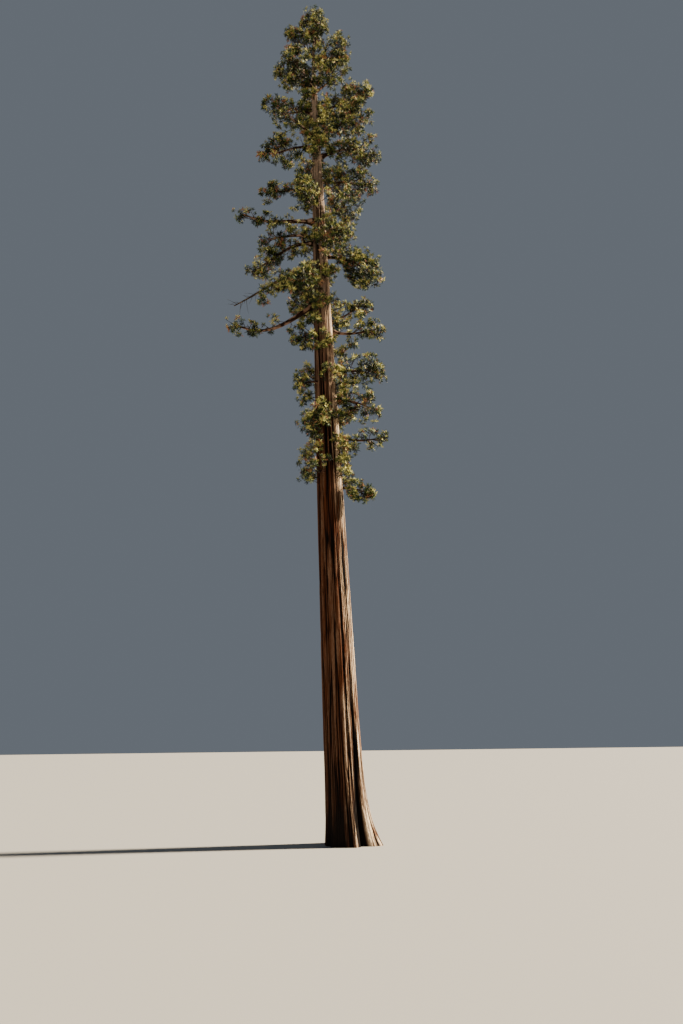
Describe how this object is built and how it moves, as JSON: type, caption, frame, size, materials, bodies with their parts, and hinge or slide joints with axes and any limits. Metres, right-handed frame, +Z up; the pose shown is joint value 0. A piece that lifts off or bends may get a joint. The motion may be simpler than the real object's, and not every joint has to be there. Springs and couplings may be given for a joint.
{
  "type": "giant sequoia tree",
  "caption": "Tall giant sequoia with a flared, furrowed red-brown trunk, a narrow irregular crown of drooping and rising boughs, clumped evergreen foliage and a bare dead limb.",
  "frame": {"origin": "on the flat cut under the trunk, at ground level, where the trunk's axis meets the ground", "axes": "+Z up the trunk; +X towards the side where the root flare stands out most; -Y towards the side that the picture shows"},
  "size_m": [7.3076, 4.9107, 39.98],
  "materials": {
    "bark": "deeply furrowed, fibrous, matt",
    "dead_wood": "weathered bare wood, matt",
    "foliage": "scale-leaved evergreen sprays, satin"
  },
  "bodies": {
    "root": {"trunk": "bark", "bough_left_03": "bark", "bough_left_04": "bark", "bough_left_05": "bark", "bough_left_06": "bark", "bough_left_07": "bark", "bough_left_08": "bark", "bough_left_09": "bark", "bough_left_10": "bark", "bough_right_01": "bark", "bough_right_03": "bark", "bough_right_05": "bark", "bough_right_08": "bark", "bough_right_09": "bark", "bough_right_10": "bark", "bough_right_11": "bark", "bough_right_12": "bark", "bough_right_13": "bark", "bough_right_14": "bark", "bough_front_04": "bark", "bough_back_03": "bark", "bough_back_04": "bark", "dead_limb": "dead_wood", "foliage_leader": "foliage", "foliage_left_01": "foliage", "foliage_left_02": "foliage", "foliage_left_03": "foliage", "foliage_left_04": "foliage", "foliage_left_05": "foliage", "foliage_left_06": "foliage", "foliage_left_07": "foliage", "foliage_left_08": "foliage", "foliage_left_09": "foliage", "foliage_left_10": "foliage", "foliage_left_11": "foliage", "foliage_left_12": "foliage", "foliage_right_01": "foliage", "foliage_right_02": "foliage", "foliage_right_03": "foliage", "foliage_right_04": "foliage", "foliage_right_05": "foliage", "foliage_right_06": "foliage", "foliage_right_07": "foliage", "foliage_right_08": "foliage", "foliage_right_09": "foliage", "foliage_right_10": "foliage", "foliage_right_11": "foliage", "foliage_right_12": "foliage", "foliage_right_13": "foliage", "foliage_right_14": "foliage", "foliage_front_01": "foliage", "foliage_front_02": "foliage", "foliage_front_03": "foliage", "foliage_front_04": "foliage", "foliage_front_05": "foliage", "foliage_front_06": "foliage", "foliage_back_01": "foliage", "foliage_back_02": "foliage", "foliage_back_03": "foliage", "foliage_back_04": "foliage"}
  },
  "joints": []
}
